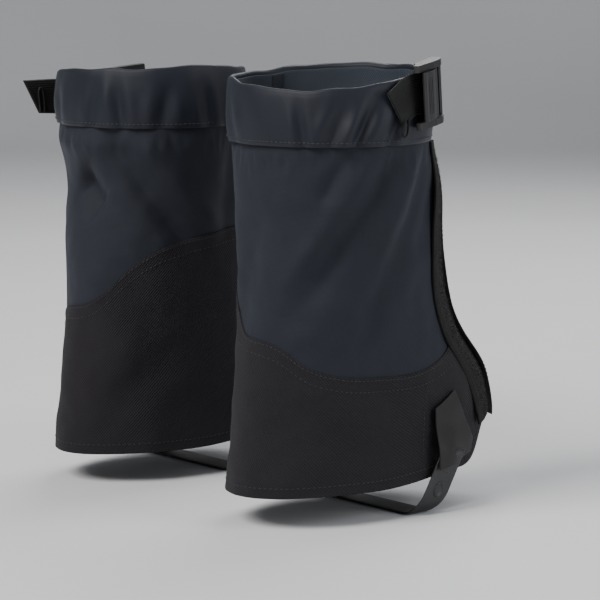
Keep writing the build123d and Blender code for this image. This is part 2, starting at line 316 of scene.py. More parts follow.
def stitch_row(name, points, normals, material, body, pitch=3.1, length=2.1, width=0.55, slot="webbing"):
    """Row of sewn stitches along a line of world points, each a small rounded thread."""
    points = np.asarray(points)
    normals = np.asarray(normals)
    run = np.concatenate([[0], np.cumsum(np.linalg.norm(np.diff(points, axis=0), axis=1))])
    vertices, faces = [], []
    count = int(run[-1] / (pitch * MM))
    sides, rings = 6, (-1.0, -0.72, 0.0, 0.72, 1.0)
    for k in range(count):
        middle = (k + 0.5) * pitch * MM
        ends = [
            np.array([np.interp(middle + d * length * MM / 2, run, points[:, axis]) for axis in range(3)])
            for d in (-1, 1)
        ]
        normal = np.array([np.interp(middle, run, normals[:, axis]) for axis in range(3)])
        normal = normal / np.linalg.norm(normal)
        along = ends[1] - ends[0]
        along_unit = along / (np.linalg.norm(along) + 1e-12)
        across = np.cross(along_unit, normal)
        centre = (ends[0] + ends[1]) / 2 + normal * 0.12 * MM
        first = len(vertices)
        for place_along in rings:
            size = (1 - place_along**2) ** 0.5 * 0.85 + 0.15
            for s in range(sides):
                turn = 2 * pi * s / sides
                vertices.append(
                    centre
                    + along * place_along / 2
                    + across * cos(turn) * width / 2 * size * MM
                    + normal * (sin(turn) * width / 2.4 * size - 0.1 * place_along**2) * MM
                )
        faces += [tuple(first + i for i in f) for f in grid_faces(len(rings), sides, closed=True)]
        faces.append(tuple(first + s for s in reversed(range(sides))))
        faces.append(tuple(first + (len(rings) - 1) * sides + s for s in range(sides)))
    piece = mesh_piece(name, vertices, faces)
    finish_piece(piece, material, body)
    return piece


def finish_piece(piece, material, body):
    """Give a piece its material, and ride it on a body when one is given."""
    piece.data.materials.clear()
    piece.data.materials.append(material)
    if body:
        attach(piece, body)


# ---- materials
def new_material(name):
    material = bpy.data.materials.new(name)
    material.use_nodes = True
    tree = material.node_tree
    shader = tree.nodes["Principled BSDF"]
    return material, tree, shader


def add(tree, kind, inputs=None, **settings):
    node = tree.nodes.new(kind)
    for key, value in settings.items():
        setattr(node, key, value)
    for key, value in (inputs or {}).items():
        if hasattr(value, "is_output"):
            tree.links.new(value, node.inputs[key])
        else:
            node.inputs[key].default_value = value
    return node


def maths(tree, operation, a, b):
    return add(tree, "ShaderNodeMath", {0: a, 1: b}, operation=operation).outputs[0]


def noise_of(tree, coords, scale, detail):
    """Noise at some coordinates, from 0 to 1."""
    inputs = {"Vector": coords, "Scale": scale, "Detail": detail}
    return add(tree, "ShaderNodeTexNoise", inputs).outputs["Fac"]


def two_tone(tree, shader, tone, dark, light, low=0.0, high=1.0):
    """Base colour that runs from a dark to a light colour as the tone goes from low to high."""
    ramp = add(tree, "ShaderNodeValToRGB", {"Fac": tone})
    for element, colour, position in zip(ramp.color_ramp.elements, (dark, light), (low, high)):
        element.position = position
        element.color = (*colour, 1)
    tree.links.new(ramp.outputs[0], shader.inputs["Base Color"])


def roughness_of(tree, shader, value, low, high):
    """Roughness that runs between two limits with a value."""
    rough = add(tree, "ShaderNodeMapRange", {"Value": value, "To Min": low, "To Max": high})
    tree.links.new(rough.outputs[0], shader.inputs["Roughness"])


def wave(tree, coords, pitch, turn):
    """Bands of a given pitch in metres, turned in the plane of the cloth."""
    mapped = add(tree, "ShaderNodeMapping", {"Vector": coords, "Rotation": (0, 0, radians(turn))})
    bands = add(
        tree, "ShaderNodeTexWave", {"Vector": mapped.outputs[0], "Scale": 0.31416 / pitch, "Distortion": 0.0},
        wave_type="BANDS", bands_direction="X", wave_profile="SIN",
    )
    return bands.outputs["Fac"]


def cloth(name, colour, lighter, weave, pitch, bump, roughness, sheen, sheen_tint=(1, 1, 1, 1), mottle=0.5):
    """Woven or coated cloth with its own weave, soft mottling and rubbed places."""
    material, tree, shader = new_material(name)
    coords = add(tree, "ShaderNodeUVMap", uv_map="cloth").outputs[0]
    solid = add(tree, "ShaderNodeTexCoord").outputs["Object"]
    if weave == "twill":
        rib = wave(tree, coords, pitch, 38)
        cross = wave(tree, coords, pitch * 0.62, -38)
        height = maths(tree, "ADD", maths(tree, "MULTIPLY", rib, 0.75), maths(tree, "MULTIPLY", cross, 0.25))
    elif weave == "plain":
        height = maths(tree, "MULTIPLY", wave(tree, coords, pitch, 0), wave(tree, coords, pitch, 90))
    else:
        height = noise_of(tree, solid, 1 / pitch, 3.0)
    fibre = noise_of(tree, solid, 1400.0, 2.0)
    cloud = noise_of(tree, solid, 26.0, 6.0)
    tone = maths(tree, "ADD", maths(tree, "MULTIPLY", height, 0.55), maths(tree, "MULTIPLY", fibre, 0.45))
    tone = maths(tree, "ADD", tone, maths(tree, "MULTIPLY", maths(tree, "SUBTRACT", cloud, 0.5), mottle))
    two_tone(tree, shader, tone, colour, lighter, 0.18, 0.95)
    roughness_of(tree, shader, cloud, roughness - 0.07, roughness + 0.07)
    shader.inputs["Sheen Weight"].default_value = sheen
    shader.inputs["Sheen Roughness"].default_value = 0.45
    shader.inputs["Sheen Tint"].default_value = sheen_tint
    shader.inputs["Specular IOR Level"].default_value = 0.3
    relief = maths(tree, "ADD", height, maths(tree, "MULTIPLY", fibre, 0.6))
    bumped = add(tree, "ShaderNodeBump", {"Height": relief, "Strength": bump, "Distance": 0.0004})
    tree.links.new(bumped.outputs[0], shader.inputs["Normal"])
    return material


def moulded(name, colour, lighter, roughness, bump=0.12, grain=900.0):
    """Moulded plastic or rubber with a fine spark-eroded grain and scuffs."""
    material, tree, shader = new_material(name)
    solid = add(tree, "ShaderNodeTexCoord").outputs["Object"]
    fine = noise_of(tree, solid, grain, 2.0)
    cloud = noise_of(tree, solid, 60.0, 5.0)
    edge = add(tree, "ShaderNodeNewGeometry").outputs["Pointiness"]
    worn = add(tree, "ShaderNodeMapRange", {"Value": edge, "From Min": 0.5, "From Max": 0.62}).outputs[0]
    tone = maths(tree, "ADD", maths(tree, "MULTIPLY", worn, 0.6), maths(tree, "MULTIPLY", cloud, 0.5))
    two_tone(tree, shader, tone, colour, lighter)
    roughness_of(tree, shader, cloud, roughness - 0.08, roughness + 0.1)
    bumped = add(tree, "ShaderNodeBump", {"Height": fine, "Strength": bump, "Distance": 0.0002})
    tree.links.new(bumped.outputs[0], shader.inputs["Normal"])
    return material


def dark_metal():
    """Blackened steel with brushed scratches and bright worn spots."""
    material, tree, shader = new_material("dark_metal")
    solid = add(tree, "ShaderNodeTexCoord").outputs["Object"]
    stretched = add(tree, "ShaderNodeMapping", {"Vector": solid, "Scale": (1, 1, 12)}).outputs[0]
    scratch = add(tree, "ShaderNodeTexNoise", {"Vector": stretched, "Scale": 500.0}).outputs["Fac"]
    two_tone(tree, shader, scratch, (0.035, 0.035, 0.037), (0.16, 0.16, 0.165), 0.45, 0.8)
    roughness_of(tree, shader, scratch, 0.28, 0.5)
    shader.inputs["Metallic"].default_value = 1.0
    return material


NAVY = cloth(
    "navy_softshell", (0.0058, 0.0074, 0.0128), (0.0195, 0.0232, 0.0345), "plain", pitch=0.0007, bump=0.35,
    roughness=0.75, sheen=0.05, sheen_tint=(0.75, 0.82, 1, 1), mottle=0.55,
)
COLLAR_CLOTH = cloth(
    "navy_collar", (0.0044, 0.0058, 0.0112), (0.0118, 0.0148, 0.0246), "plain", pitch=0.0006, bump=0.22,
    roughness=0.5, sheen=0.05, sheen_tint=(0.75, 0.85, 1, 1), mottle=0.4,
)
TWILL = cloth(
    "black_twill", (0.002, 0.0016, 0.0026), (0.0172, 0.0135, 0.0192), "twill", pitch=0.0013, bump=0.8,
    roughness=0.8, sheen=0.03, mottle=0.35,
)
LINING = cloth(
    "lining_twill", (0.015, 0.019, 0.0275), (0.046, 0.056, 0.075), "twill", pitch=0.0011, bump=0.5,
    roughness=0.7, sheen=0.1, sheen_tint=(0.8, 0.9, 1, 1), mottle=0.15,
)
COATED = cloth(
    "coated_fabric", (0.0056, 0.0052, 0.0056), (0.0122, 0.0112, 0.0118), "coated", pitch=0.0009, bump=0.25,
    roughness=0.55, sheen=0.03, mottle=0.6,
)
LOOPS = cloth(
    "loop_tape", (0.0012, 0.0011, 0.0013), (0.008, 0.0075, 0.008), "coated", pitch=0.0005, bump=1.0,
    roughness=0.95, sheen=0.03, sheen_tint=(1, 0.97, 1, 1),
)
FIBRE = cloth(
    "loop_fibres", (0.006, 0.0056, 0.006), (0.05, 0.047, 0.05), "coated", pitch=0.0005, bump=0.2,
    roughness=0.8, sheen=0.1, mottle=0.8,
)
HOOKS = moulded("hook_tape", (0.004, 0.004, 0.0045), (0.015, 0.015, 0.016), 0.5, bump=0.6, grain=1500.0)
WEBBING = cloth(
    "webbing", (0.0014, 0.0013, 0.0015), (0.0062, 0.0058, 0.0062), "plain", pitch=0.0009, bump=0.7,
    roughness=0.6, sheen=0.05,
)
THREAD = cloth(
    "thread", (0.02, 0.021, 0.025), (0.055, 0.057, 0.064), "coated", pitch=0.0003, bump=0.5,
    roughness=0.6, sheen=0.1,
)
DARK_THREAD = cloth(
    "dark_thread", (0.012, 0.011, 0.013), (0.036, 0.034, 0.037), "coated", pitch=0.0003, bump=0.5,
    roughness=0.6, sheen=0.1,
)
BUCKLE = moulded("buckle_plastic", (0.0036, 0.0036, 0.0038), (0.016, 0.0156, 0.0162), 0.38)
POLYMER = moulded("strap_polymer", (0.006, 0.006, 0.0063), (0.018, 0.018, 0.019), 0.5, bump=0.2, grain=700.0)
METAL = dark_metal()


# ---- shells
ALL_TURNS = np.linspace(0, 360, 361)[:-1]


def cloth_uv(turns, heights):
    """Cloth coordinates of the leg tube, in metres."""
    return np.stack([turns * 1.02 * MM, heights * MM], -1)


def flat_uv(across, heights):
    """Cloth coordinates of a piece that lies nearly flat, in metres."""
    return np.stack([across, heights], -1) * MM


def panel(side, name, low, high, rows, lift, thickness, material, replaced):
    """Closed cloth tube between two height curves."""
    share = np.linspace(0, 1, rows)[:, None]
    heights = low[None, :] + (high - low)[None, :] * share
    turns = np.broadcast_to(ALL_TURNS[None, :], heights.shape)
    points = shell_grid(side, turns, heights, lift)
    piece = sheet_piece(f"{side}_{name}", points, cloth_uv(turns, heights), thickness, side, closed=True)
    finish_piece(piece, material, f"{side}_gaiter")
    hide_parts(*[f"{side}_{node}" for node in replaced])
    return piece


def row_on_shell(side, name, turns, heights, lift, material, **options):
    """Stitches along a line on the leg tube."""
    points = shell_grid(side, turns, heights, lift)
    angle = np.radians(turns)
    normals = np.stack([SIDES[side] * np.sin(angle), np.cos(angle), np.zeros_like(angle)], -1)
    return stitch_row(f"{side}_{name}", points, normals, material, f"{side}_gaiter", **options)


def ease_heel(heights, start=150, end=212):
    """Carry a seam across the heel in one smooth slope between two turns."""
    reach = end - start
    share = np.linspace(0, 1, reach + 1)
    leave = (heights[start] - heights[start - 3]) / 3 * reach
    arrive = (heights[end + 3] - heights[end]) / 3 * reach
    eased = heights.copy()
    eased[start:end + 1] = (
        heights[start] * (1 + 2 * share) * (1 - share) ** 2 + leave * share * (1 - share) ** 2
        + heights[end] * share**2 * (3 - 2 * share) + arrive * share**2 * (share - 1)
    )
    return eased


def build_shell(side):
    hem = curve_height(ALL_TURNS, HEM_HEIGHT, HEM_HEIGHT)
    seam = ease_heel(curve_height(ALL_TURNS, LATERAL_HEIGHT, MEDIAL_HEIGHT))
    top = np.full(ALL_TURNS.shape, COLLAR_BOTTOM + 4.0)
    upper = panel(side, "upper_cloth", seam - 9, top, 92, -0.1, 0.9, NAVY, ["upper_panel"])
    lower = panel(side, "lower_cloth", hem, seam, 84, 0.75, 1.1, TWILL, ["lower_panel"])
    panel(side, "hem_turning", hem + 0.4, hem + 13, 12, -0.6, 0.8, TWILL, ["hem_facing"])
    row_on_shell(side, "seam_stitches", ALL_TURNS, seam - 1.6, 0.8, DARK_THREAD, pitch=2.9, length=2.0)
    row_on_shell(side, "seam_second_stitches", ALL_TURNS, seam - 8.4, 0.8, DARK_THREAD, pitch=3.3, length=2.0)
    row_on_shell(side, "hem_stitches", ALL_TURNS, hem + 6.2, 0.8, DARK_THREAD, pitch=3.3, length=2.1)
    heights = np.linspace(38, 84, 40)
    rear = np.array([turn_at_y(height, 38.0, 1) for height in heights])
    row_on_shell(side, "patch_reach_stitches", rear, heights, 0.8, DARK_THREAD, pitch=3.3, length=2.0)


def turn_at_y(height, y, sign):
    """Turn at which the tube has a given Y, on the lateral (1) or medial (-1) side."""
    reach = TOE(height) - WIDEST(height) if y > WIDEST(height) else WIDEST(height) - HEEL(height)
    turn = np.degrees(np.arccos(np.clip((y - WIDEST(height)) / reach, -1, 1)))
    return turn if sign > 0 else 360 - turn


# ---- collar
LINING_SEAM = 276.0
RIM_ROUND = 2.2
# Height of the collar's soft top edge: turn in degrees and millimetres
RIMS = {
    "right": [(0, 272), (20, 272.2), (50, 271.5), (84, 268.6), (112, 265), (138, 262.3), (159, 262.9),
              (184, 264.7), (209, 267.3), (254, 267.6), (286, 269.8), (303, 271.2), (322, 272.2), (342, 272),
              (360, 272)],
    "left": [(0, 261), (30, 258), (60, 257), (100, 257.5), (125, 260), (145, 263), (170, 265), (194, 266.5),
             (222, 266.5), (248, 268), (270, 269.5), (287, 267), (310, 266), (340, 263), (360, 261)],
}


def casing_bulge(side, turns, heights):
    """How far the collar stands out where the strap runs inside it."""
    around = step(turns, 282, 287) * (1 - step(turns, 346, 350))
    middle = STRAP_HEIGHTS[side]
    rise = step(heights, middle - 16, middle - 13)
    return 3.6 * around * rise * (1 - step(heights, middle + 14, middle + 18))


def collar_radius(side, turns, share, heights):
    """Outer radius of the collar at a share of its height."""
    puff = 1.5 * np.sin(pi * np.clip(share, 0, 1)) ** 0.7
    total = COLLAR_RADIUS + 0.2 + puff + casing_bulge(side, turns, heights)
    for turn, lean, depth, width in GATHERS[side]:
        across = (turns - turn - lean * (share - 0.3)) * 1.06
        reach = np.exp(-((share - 0.32) / 0.42) ** 2)
        total = total + depth * reach * np.exp(-((across / width) ** 2))
        total = total + 0.45 * abs(depth) * reach * np.exp(-(((np.abs(across) - 1.9 * width) / width) ** 2))
    return total


def rim_height(side, turns):
    """Height of the collar's top edge, with small waves."""
    table = np.array(RIMS[side], dtype=float)
    smooth = np.interp(turns, table[:, 0], table[:, 1])
    kernel = np.hanning(17)
    smooth = np.convolve(np.concatenate([smooth[-8:], smooth, smooth[:8]]), kernel / kernel.sum(), "valid")
    return smooth + 0.35 * np.sin(np.radians(turns * 9)) + 0.25 * np.sin(np.radians(turns * 14 + 70))


def build_collar(side):
    rows = 40
    share = np.linspace(0, 1, rows)
    turns = ALL_TURNS
    rim = rim_height(side, turns)
    rings = []
    for s in share:
        height = COLLAR_BOTTOM + (rim - RIM_ROUND - COLLAR_BOTTOM) * s
        rings.append((collar_radius(side, turns, np.full(turns.shape, s), height), height))
    top_radius = rings[-1][0]
    depth = top_radius - (COLLAR_RADIUS - 3.2)
    for turn_in in np.linspace(0.12, 1.0, 9):
        angle = turn_in * pi
        rings.append((top_radius - depth * (1 - cos(angle)) / 2, rim - RIM_ROUND + RIM_ROUND * sin(angle)))
    rings.append((top_radius - depth, rim - 5.0))
    angle = np.radians(turns)
    points, uv = [], []
    for number, (radius, height) in enumerate(rings):
        flat = np.stack([radius * np.sin(angle) / 50, radius * np.cos(angle) / 50, height / 50], 1)
        wobble = ripple(flat, 3.1, 14.0 if side == "right" else 21.0) * 0.55
        points.append(place_round(side, radius + wobble, angle, height))
        uv.append(np.stack([turns * 1.06 * MM, np.full(turns.shape, number * 0.9 * MM)], -1))
    piece = sheet_piece(f"{side}_collar_cloth", np.array(points), np.array(uv), 0.8, side, closed=True)
    finish_piece(piece, COLLAR_CLOTH, f"{side}_gaiter")
    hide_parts(f"{side}_collar", f"{side}_strap_casing")

    lining = []
    for s in np.linspace(0, 1, 24):
        height = COLLAR_BOTTOM - 4 + (rim - 3.0 - COLLAR_BOTTOM + 4) * s
        radius = COLLAR_RADIUS - 3.4 + 0.5 * np.sin(np.radians(turns * 7 + 60)) * (1 - s) - 0.3 * (1 - s)
        flat = np.stack([radius * np.sin(angle) / 40, radius * np.cos(angle) / 40, height / 40], 1)
        radius = radius + ripple(flat, 2.6, 5.0) * 0.5
        lining.append(place_round(side, radius, angle, height))
    turn_grid = np.broadcast_to(turns, (24, len(turns)))
    uv = cloth_uv(turn_grid, np.linspace(0, 36, 24)[:, None] + 0 * turn_grid)
    piece = sheet_piece(f"{side}_collar_lining_cloth", np.array(lining), uv, 0.7, side, closed=True)
    finish_piece(piece, LINING, f"{side}_gaiter")
    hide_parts(f"{side}_collar_lining")

    seam_turns = np.broadcast_to(np.linspace(LINING_SEAM - 4, LINING_SEAM + 4, 8)[None, :], (30, 8))
    seam_share = np.broadcast_to(np.linspace(0, 1, 30)[:, None], (30, 8))
    seam_rim = np.interp(seam_turns, turns, rim) - 3.4
    seam_high = COLLAR_BOTTOM - 3 + (seam_rim - COLLAR_BOTTOM + 3) * seam_share
    seam_radius = COLLAR_RADIUS - 4.6 + 0.35 * ((seam_turns - LINING_SEAM) / 4) ** 2
    seam_angle = np.radians(seam_turns)
    points = place_round(side, seam_radius, seam_angle, seam_high)
    piece = sheet_piece(f"{side}_lining_seam", points, cloth_uv(seam_turns, seam_high), 0.5, side)
    finish_piece(piece, COLLAR_CLOTH, f"{side}_gaiter")

    height = COLLAR_BOTTOM + 2.9 + 0 * angle
    radius = collar_radius(side, turns, 2.9 / (rim - RIM_ROUND - COLLAR_BOTTOM), height) + 0.15
    points = place_round(side, radius, angle, height)
    normals = np.stack([SIDES[side] * np.sin(angle), np.cos(angle), 0 * angle], -1)
    stitch_row(f"{side}_collar_stitches", points, normals, THREAD, f"{side}_gaiter", pitch=3.0, length=2.0,
               slot="navy_softshell")


# ---- front closure
TAPE_LEVEL = 1.8
FLAP_LEVEL = 4.2
PILE_LOOPS = 6500


def edge_x(edge, heights):
    """X of an edge given as (X, Z) corners."""
    table = np.array(sorted((z, x) for x, z in edge))
    return np.interp(heights, table[:, 0], table[:, 1])


def front_grid(left, right, low, high, rows, columns, offset):
    """Grid on the front of the tube between two edges; low and high depend on the share across."""
    across = np.linspace(0, 1, columns)[None, :]
    up = np.linspace(0, 1, rows)[:, None]
    heights = low(across) + (high(across) - low(across)) * up
    x = edge_x(left, heights) + (edge_x(right, heights) - edge_x(left, heights)) * across
    half = HALF_WIDTH(heights) + offset
    reach = TOE(heights) - WIDEST(heights) + offset
    y = WIDEST(heights) + reach * np.sqrt(np.clip(1 - (x / half) ** 2, 0, 1))
    return x, y + stand_off(heights, across, offset), heights


def stand_off(heights, across, offset):
    """How far the closure's layers stand forward of the shell, most at the flap's free lower corner."""
    if offset < 1:
        return 0 * heights
    layers = 0.8 + 0.5 * np.sin(heights / 23)
    corner = np.exp(-(((heights - 78) / 34) ** 2))
    return layers + (5.0 * across**2 if offset > 3 else 1.2 * (1 - across)) * corner


def build_front(side):
    body = f"{side}_gaiter"
    # loop tape
    low = lambda a: 57 - 10 * a
    high = lambda a: 228 + 0 * a
    x, y, heights = front_grid(TAPE_FRONT, TAPE_REAR, low, high, 170, 26, TAPE_LEVEL)
    flat = np.stack([x.ravel(), y.ravel(), heights.ravel()], 1)
    fuzz = 0.45 * ripple(flat, 0.9, 2.0) + 0.35 * ripple(flat, 2.3, 7.0)
    border = np.abs(np.linspace(-1, 1, 26))[None, :] ** 6
    y = y + (fuzz.reshape(x.shape) * (1 - 0.7 * border)) - 0.5 * border
    points = place(side, x, y, heights)
    piece = sheet_piece(f"{side}_loop_tape_pile", points, flat_uv(x, heights), 1.4, side)
    finish_piece(piece, LOOPS, body)
    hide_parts(f"{side}_loop_tape")
    build_pile(side, points)
    for label, share in (("rear", 0.93), ("front", 0.07)):
        line = front_line(side, TAPE_FRONT, TAPE_REAR, share, 60, 226, TAPE_LEVEL + 0.25)
        stitch_row(f"{side}_tape_{label}_stitches", *line, DARK_THREAD, body, pitch=2.8, length=1.9)

    # overlap flap, in one piece from its seam to the free edge
    low = lambda a: hem_front(a) - 3
    high = lambda a: 227 + 0 * a
    x, y, heights = front_grid(FLAP_ROOT, FLAP_FREE, low, high, 150, 34, FLAP_LEVEL)
    free = np.linspace(0, 1, 34)[None, :]
    ripples = 0.9 * np.sin(heights / 17) * free**2 + 0.5 * np.sin(heights / 7.3 + 1) * free**3
    y = y + ripples + 0.7 * free**3
    piece = sheet_piece(
        f"{side}_flap_cloth", place(side, x, y, heights), flat_uv(x, heights), 1.0, side
    )
    finish_piece(piece, COATED, None)
    hidden = ("front_flap", "flap_corner", "hook_strip", "corner_hook_strip")
    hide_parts(*[f"{side}_{node}" for node in hidden])
    flap_pieces = [piece]
    x, y, heights = front_grid(
        [(p - 14, q) for p, q in FLAP_FREE], [(p - 1.5, q) for p, q in FLAP_FREE],
        lambda a: hem_front(a) + 3, lambda a: 222 + 0 * a, 150, 12, FLAP_LEVEL - 1.05,
    )
    free = np.linspace(0.7, 0.97, 12)[None, :]
    y = y + 0.9 * np.sin(heights / 17) * free**2 + 0.5 * np.sin(heights / 7.3 + 1) * free**3 + 0.7 * free**3
    piece = sheet_piece(f"{side}_hook_tape", place(side, x, y, heights), flat_uv(x, heights), 0.6, side)
    finish_piece(piece, HOOKS, None)
    flap_pieces.append(piece)
    line = front_line(side, FLAP_ROOT, FLAP_FREE, 0.93, 58, 224, FLAP_LEVEL + 0.9)
    flap_pieces.append(stitch_row(f"{side}_flap_stitches", *line, DARK_THREAD, None, pitch=3.0, length=2.0))
    for piece in flap_pieces:
        peel(piece)

    # binding that sews the flap down
    root = [(p - 6.8, q) for p, q in FLAP_ROOT]
    edge = [(p + 0.3, q) for p, q in FLAP_ROOT]
    x, y, heights = front_grid(root, edge, lambda a: hem_front(a) - 0.5, lambda a: 228 + 0 * a, 120, 10, 0)
    dome = 1.6 + 2.2 * np.sin(pi * np.linspace(0.12, 0.8, 10))[None, :]
    half = HALF_WIDTH(heights)
    slope = np.sqrt(np.clip(1 - (x / half) ** 2, 0.05, 1))
    points = place(side, x - dome * np.abs(x) / half, y + dome * slope, heights)
    piece = sheet_piece(f"{side}_flap_binding_tape", points, flat_uv(x, heights), 1.2, side)
    finish_piece(piece, COATED, body)
    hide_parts(f"{side}_flap_binding")


def build_pile(side, points):
    """Short brushed loops that stand out of the loop tape."""
    chance = np.random.default_rng(11 if side == "right" else 12)
    rows, columns = points.shape[:2]
    vertices, faces = [], []
    for _ in range(PILE_LOOPS):
        row, column = chance.uniform(1, rows - 3), chance.uniform(3, columns - 5)
        r, c = int(row), int(column)
        root = points[r, c] * (1 - row + r) + points[r + 1, c] * (row - r)
        root = root + (points[r, c + 1] - points[r, c]) * (column - c)
        normal = np.cross(points[r, c + 1] - points[r, c], points[r + 1, c] - points[r, c])
        normal = normal / np.linalg.norm(normal) * (1 if normal[1] > 0 else -1)
        tip = normal * chance.uniform(0.5, 1.3) + chance.normal(0, 0.35, 3)
        across = np.cross(normal, chance.normal(0, 1, 3)) * 0.07
        bend = normal * 0.55 * np.linalg.norm(tip) + chance.normal(0, 0.2, 3)
        first = len(vertices)
        vertices += [root + across * MM, root - across * MM, root + (bend + across) * MM,
                     root + (bend - across) * MM, root + tip * MM]
        faces += [(first, first + 1, first + 3, first + 2), (first + 2, first + 3, first + 4)]
    piece = mesh_piece(f"{side}_loop_pile_fibres", vertices, faces, smooth=False)
    finish_piece(piece, FIBRE, f"{side}_gaiter")


def hem_front(across):
    """Height of the hem under the flap."""
    return 52.0 - 5.0 * np.abs(across - 0.5)


def front_line(side, left, right, share, low, high, offset):
    """Points and normals of a line down the front closure."""
    across = lambda a: low + 0 * a
    x, y, heights = front_grid(left, right, across, lambda a: high + 0 * a, 90, 3, offset)
    pick = lambda grid: grid[:, 0] + (grid[:, 2] - grid[:, 0]) * share
    heights = heights[:, 0]
    x = pick(x)
    half = HALF_WIDTH(heights) + offset
    reach = TOE(heights) - WIDEST(heights) + offset
    y = WIDEST(heights) + reach * np.sqrt(np.clip(1 - (x / half) ** 2, 0, 1))
    y = y + stand_off(heights, share, offset)
    normals = np.stack([SIDES[side] * x / half**2, (y - WIDEST(heights)) / reach**2, 0 * x], -1)
    return place(side, x, y, heights), normals / np.linalg.norm(normals, axis=1, keepdims=True)


def peel(piece):
    """Bake the piece's placement into its mesh."""
    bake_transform(piece)


# ---- straps and patches
def strap_section(centre, normal, width_dir, width, thickness=1.3, ribs=15):
    """Closed section of ribbed webbing: ribs on both faces and rounded selvedges."""
    points = []
    for face in (1, -1):
        for k in range(ribs * 4 + 1):
            share = k / (ribs * 4) if face > 0 else 1 - k / (ribs * 4)
            rib = 0.16 * cos(2 * pi * share * ribs)
            edge = 1 - max(0.0, abs(2 * share - 1) - 0.93) / 0.07
            half = (thickness / 2 + rib * -1) * (0.35 + 0.65 * max(edge, 0) ** 0.5)
            points.append(centre + width_dir * ((share - 0.5) * width) + normal * (face * half))
    return points


# Free tail of each top strap: droop and slant of its end in degrees, and lift
TAILS = {"right": (31.0, 4.0, 0.0), "left": (4.0, 24.0, 0.09)}


def build_top_strap(side):
    middle = STRAP_RADIUS + 0.65
    sections = []
    end_turn = radians(STRAP_END_ANGLE)
    start_turn = radians(TAIL_START_ANGLE)
    up = np.array([0.0, 0.0, 1.0])
    droop, slant, lift = TAILS[side]
    bend_turn = radians(TAIL_START_ANGLE + (7 if side == "right" else 13))
    for angle in np.linspace(end_turn, bend_turn, 84):
        radial = np.array([cos(angle), sin(angle), 0.0])
        hidden = float(step(np.degrees(angle), CASING_START_ANGLE + 12, CASING_START_ANGLE + 18))
        centre = radial * (middle - 0.5 * hidden) + up * (STRAP_HEIGHTS[side] - 1.5 * hidden)
        sections.append(strap_section(centre, radial, up, 25.0 - 6.0 * hidden))
    arc = middle * (bend_turn - start_turn)
    length = arc + TAIL_LENGTHS[side]
    steps = 34
    for k in range(1, steps + 1):
        share = k / steps
        run = share * length
        angle = max(bend_turn - run / middle, start_turn)
        radial = np.array([cos(angle), sin(angle), 0.0])
        back = np.array([sin(angle), -cos(angle), 0.0])
        bent = float(step(run, 0.0, 9.0 if side == "right" else 14.0))
        down = radians(droop) * bent
        direction = back * cos(down) - up * sin(down)
        lean = down + radians(slant) * share
        width_dir = up * cos(lean) + back * sin(lean)
        curl = 0.06 * sin(pi * share)
        centre = centre + (direction + radial * curl + up * lift * bent) * (length / steps)
        sections.append(strap_section(centre, radial, width_dir, 25.0))
    world = [[place_spot(side, p) for p in section] for section in sections]
    piece = rings_piece(f"{side}_webbing_strap", world)
    finish_piece(piece, WEBBING, f"{side}_webbing")
    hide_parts(f"{side}_top_strap")
    stand = 1.0 if side == "right" else -1.3
    end = centre - direction * 2.5 - width_dir * 10.5 + radial * stand
    curve = bpy.data.curves.new(f"{side}_tail_loop", "CURVE")
    curve.dimensions = "3D"
    spline = curve.splines.new("NURBS")
    route = [(0, 2), (0, -3), (0.6, -9), (1.2, -13), (3.2, -15), (4.6, -12), (4.0, -7), (3.4, -2), (3.2, 2)]
    spline.points.add(len(route) - 1)
    for point, (along, drop) in zip(spline.points, route):
        spot = end + back * (along - 2) + up * (0.6 * drop if side == "right" else 0.5 - drop)
        point.co = (*place_spot(side, spot), 1)
    spline.use_endpoint_u = True
    spline.order_u = 3
    curve.bevel_depth = 0.7 * MM
    curve.bevel_resolution = 3
    loop = bpy.data.objects.new(f"{side}_tail_loop", curve)
    bpy.context.scene.collection.objects.link(loop)
    loop.data.materials.append(WEBBING)
    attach(loop, f"{side}_webbing")
    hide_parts(f"{side}_pull_loop")


def instep_path():
    """Centre line of the instep strap as X, Z and the slope of its outward face."""
    low = INSTEP_THICK / 2
    path = [(INSTEP_HALF, z, 0.0) for z in (38.0, 34.0, 30.0, 26.0, 22.0, 18.0)]
    for angle in np.radians(np.linspace(0, 90, 13)):
        path.append((
            INSTEP_HALF - INSTEP_CORNER + INSTEP_CORNER * cos(angle),
            low + INSTEP_CORNER - INSTEP_CORNER * sin(angle),
            angle,
        ))
    path += [(x, low, pi / 2) for x in (28.0, 20.0, 10.0)]
    return path + [(0.0, low, pi / 2)] + [(-x, z, pi - slope) for x, z, slope in reversed(path)]


def build_instep_strap(side):
    sections = []
    for x, z, slope in instep_path():
        centre_y = INSTEP_PIVOT[0] - INSTEP_SETBACK * (INSTEP_PIVOT[1] - z) / INSTEP_PIVOT[1]
        normal = np.array([cos(slope), 0, -sin(slope)])
        section = []
        for k in range(24):
            turn = 2 * pi * k / 24
            wide = np.sign(cos(turn)) * abs(cos(turn)) ** 0.35 * INSTEP_WIDTH / 2
            deep = np.sign(sin(turn)) * abs(sin(turn)) ** 0.6 * INSTEP_THICK / 2
            spot = np.array([x, centre_y, z]) + np.array([0, wide, 0]) + normal * deep
            section.append(place_spot(side, spot))
        sections.append(section)
    piece = rings_piece(f"{side}_instep_strap_moulding", sections)
    finish_piece(piece, POLYMER, f"{side}_instep")
    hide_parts(f"{side}_instep_strap")
    for label, sign in (("lateral", 1), ("medial", -1)):
        boss = oval_boss(f"{side}_strap_boss_{label}", side, sign)
        finish_piece(boss, POLYMER, f"{side}_instep")
        slot_piece = strap_slot(f"{side}_strap_slot_{label}", side, sign)
        finish_piece(slot_piece, BUCKLE, f"{side}_instep")


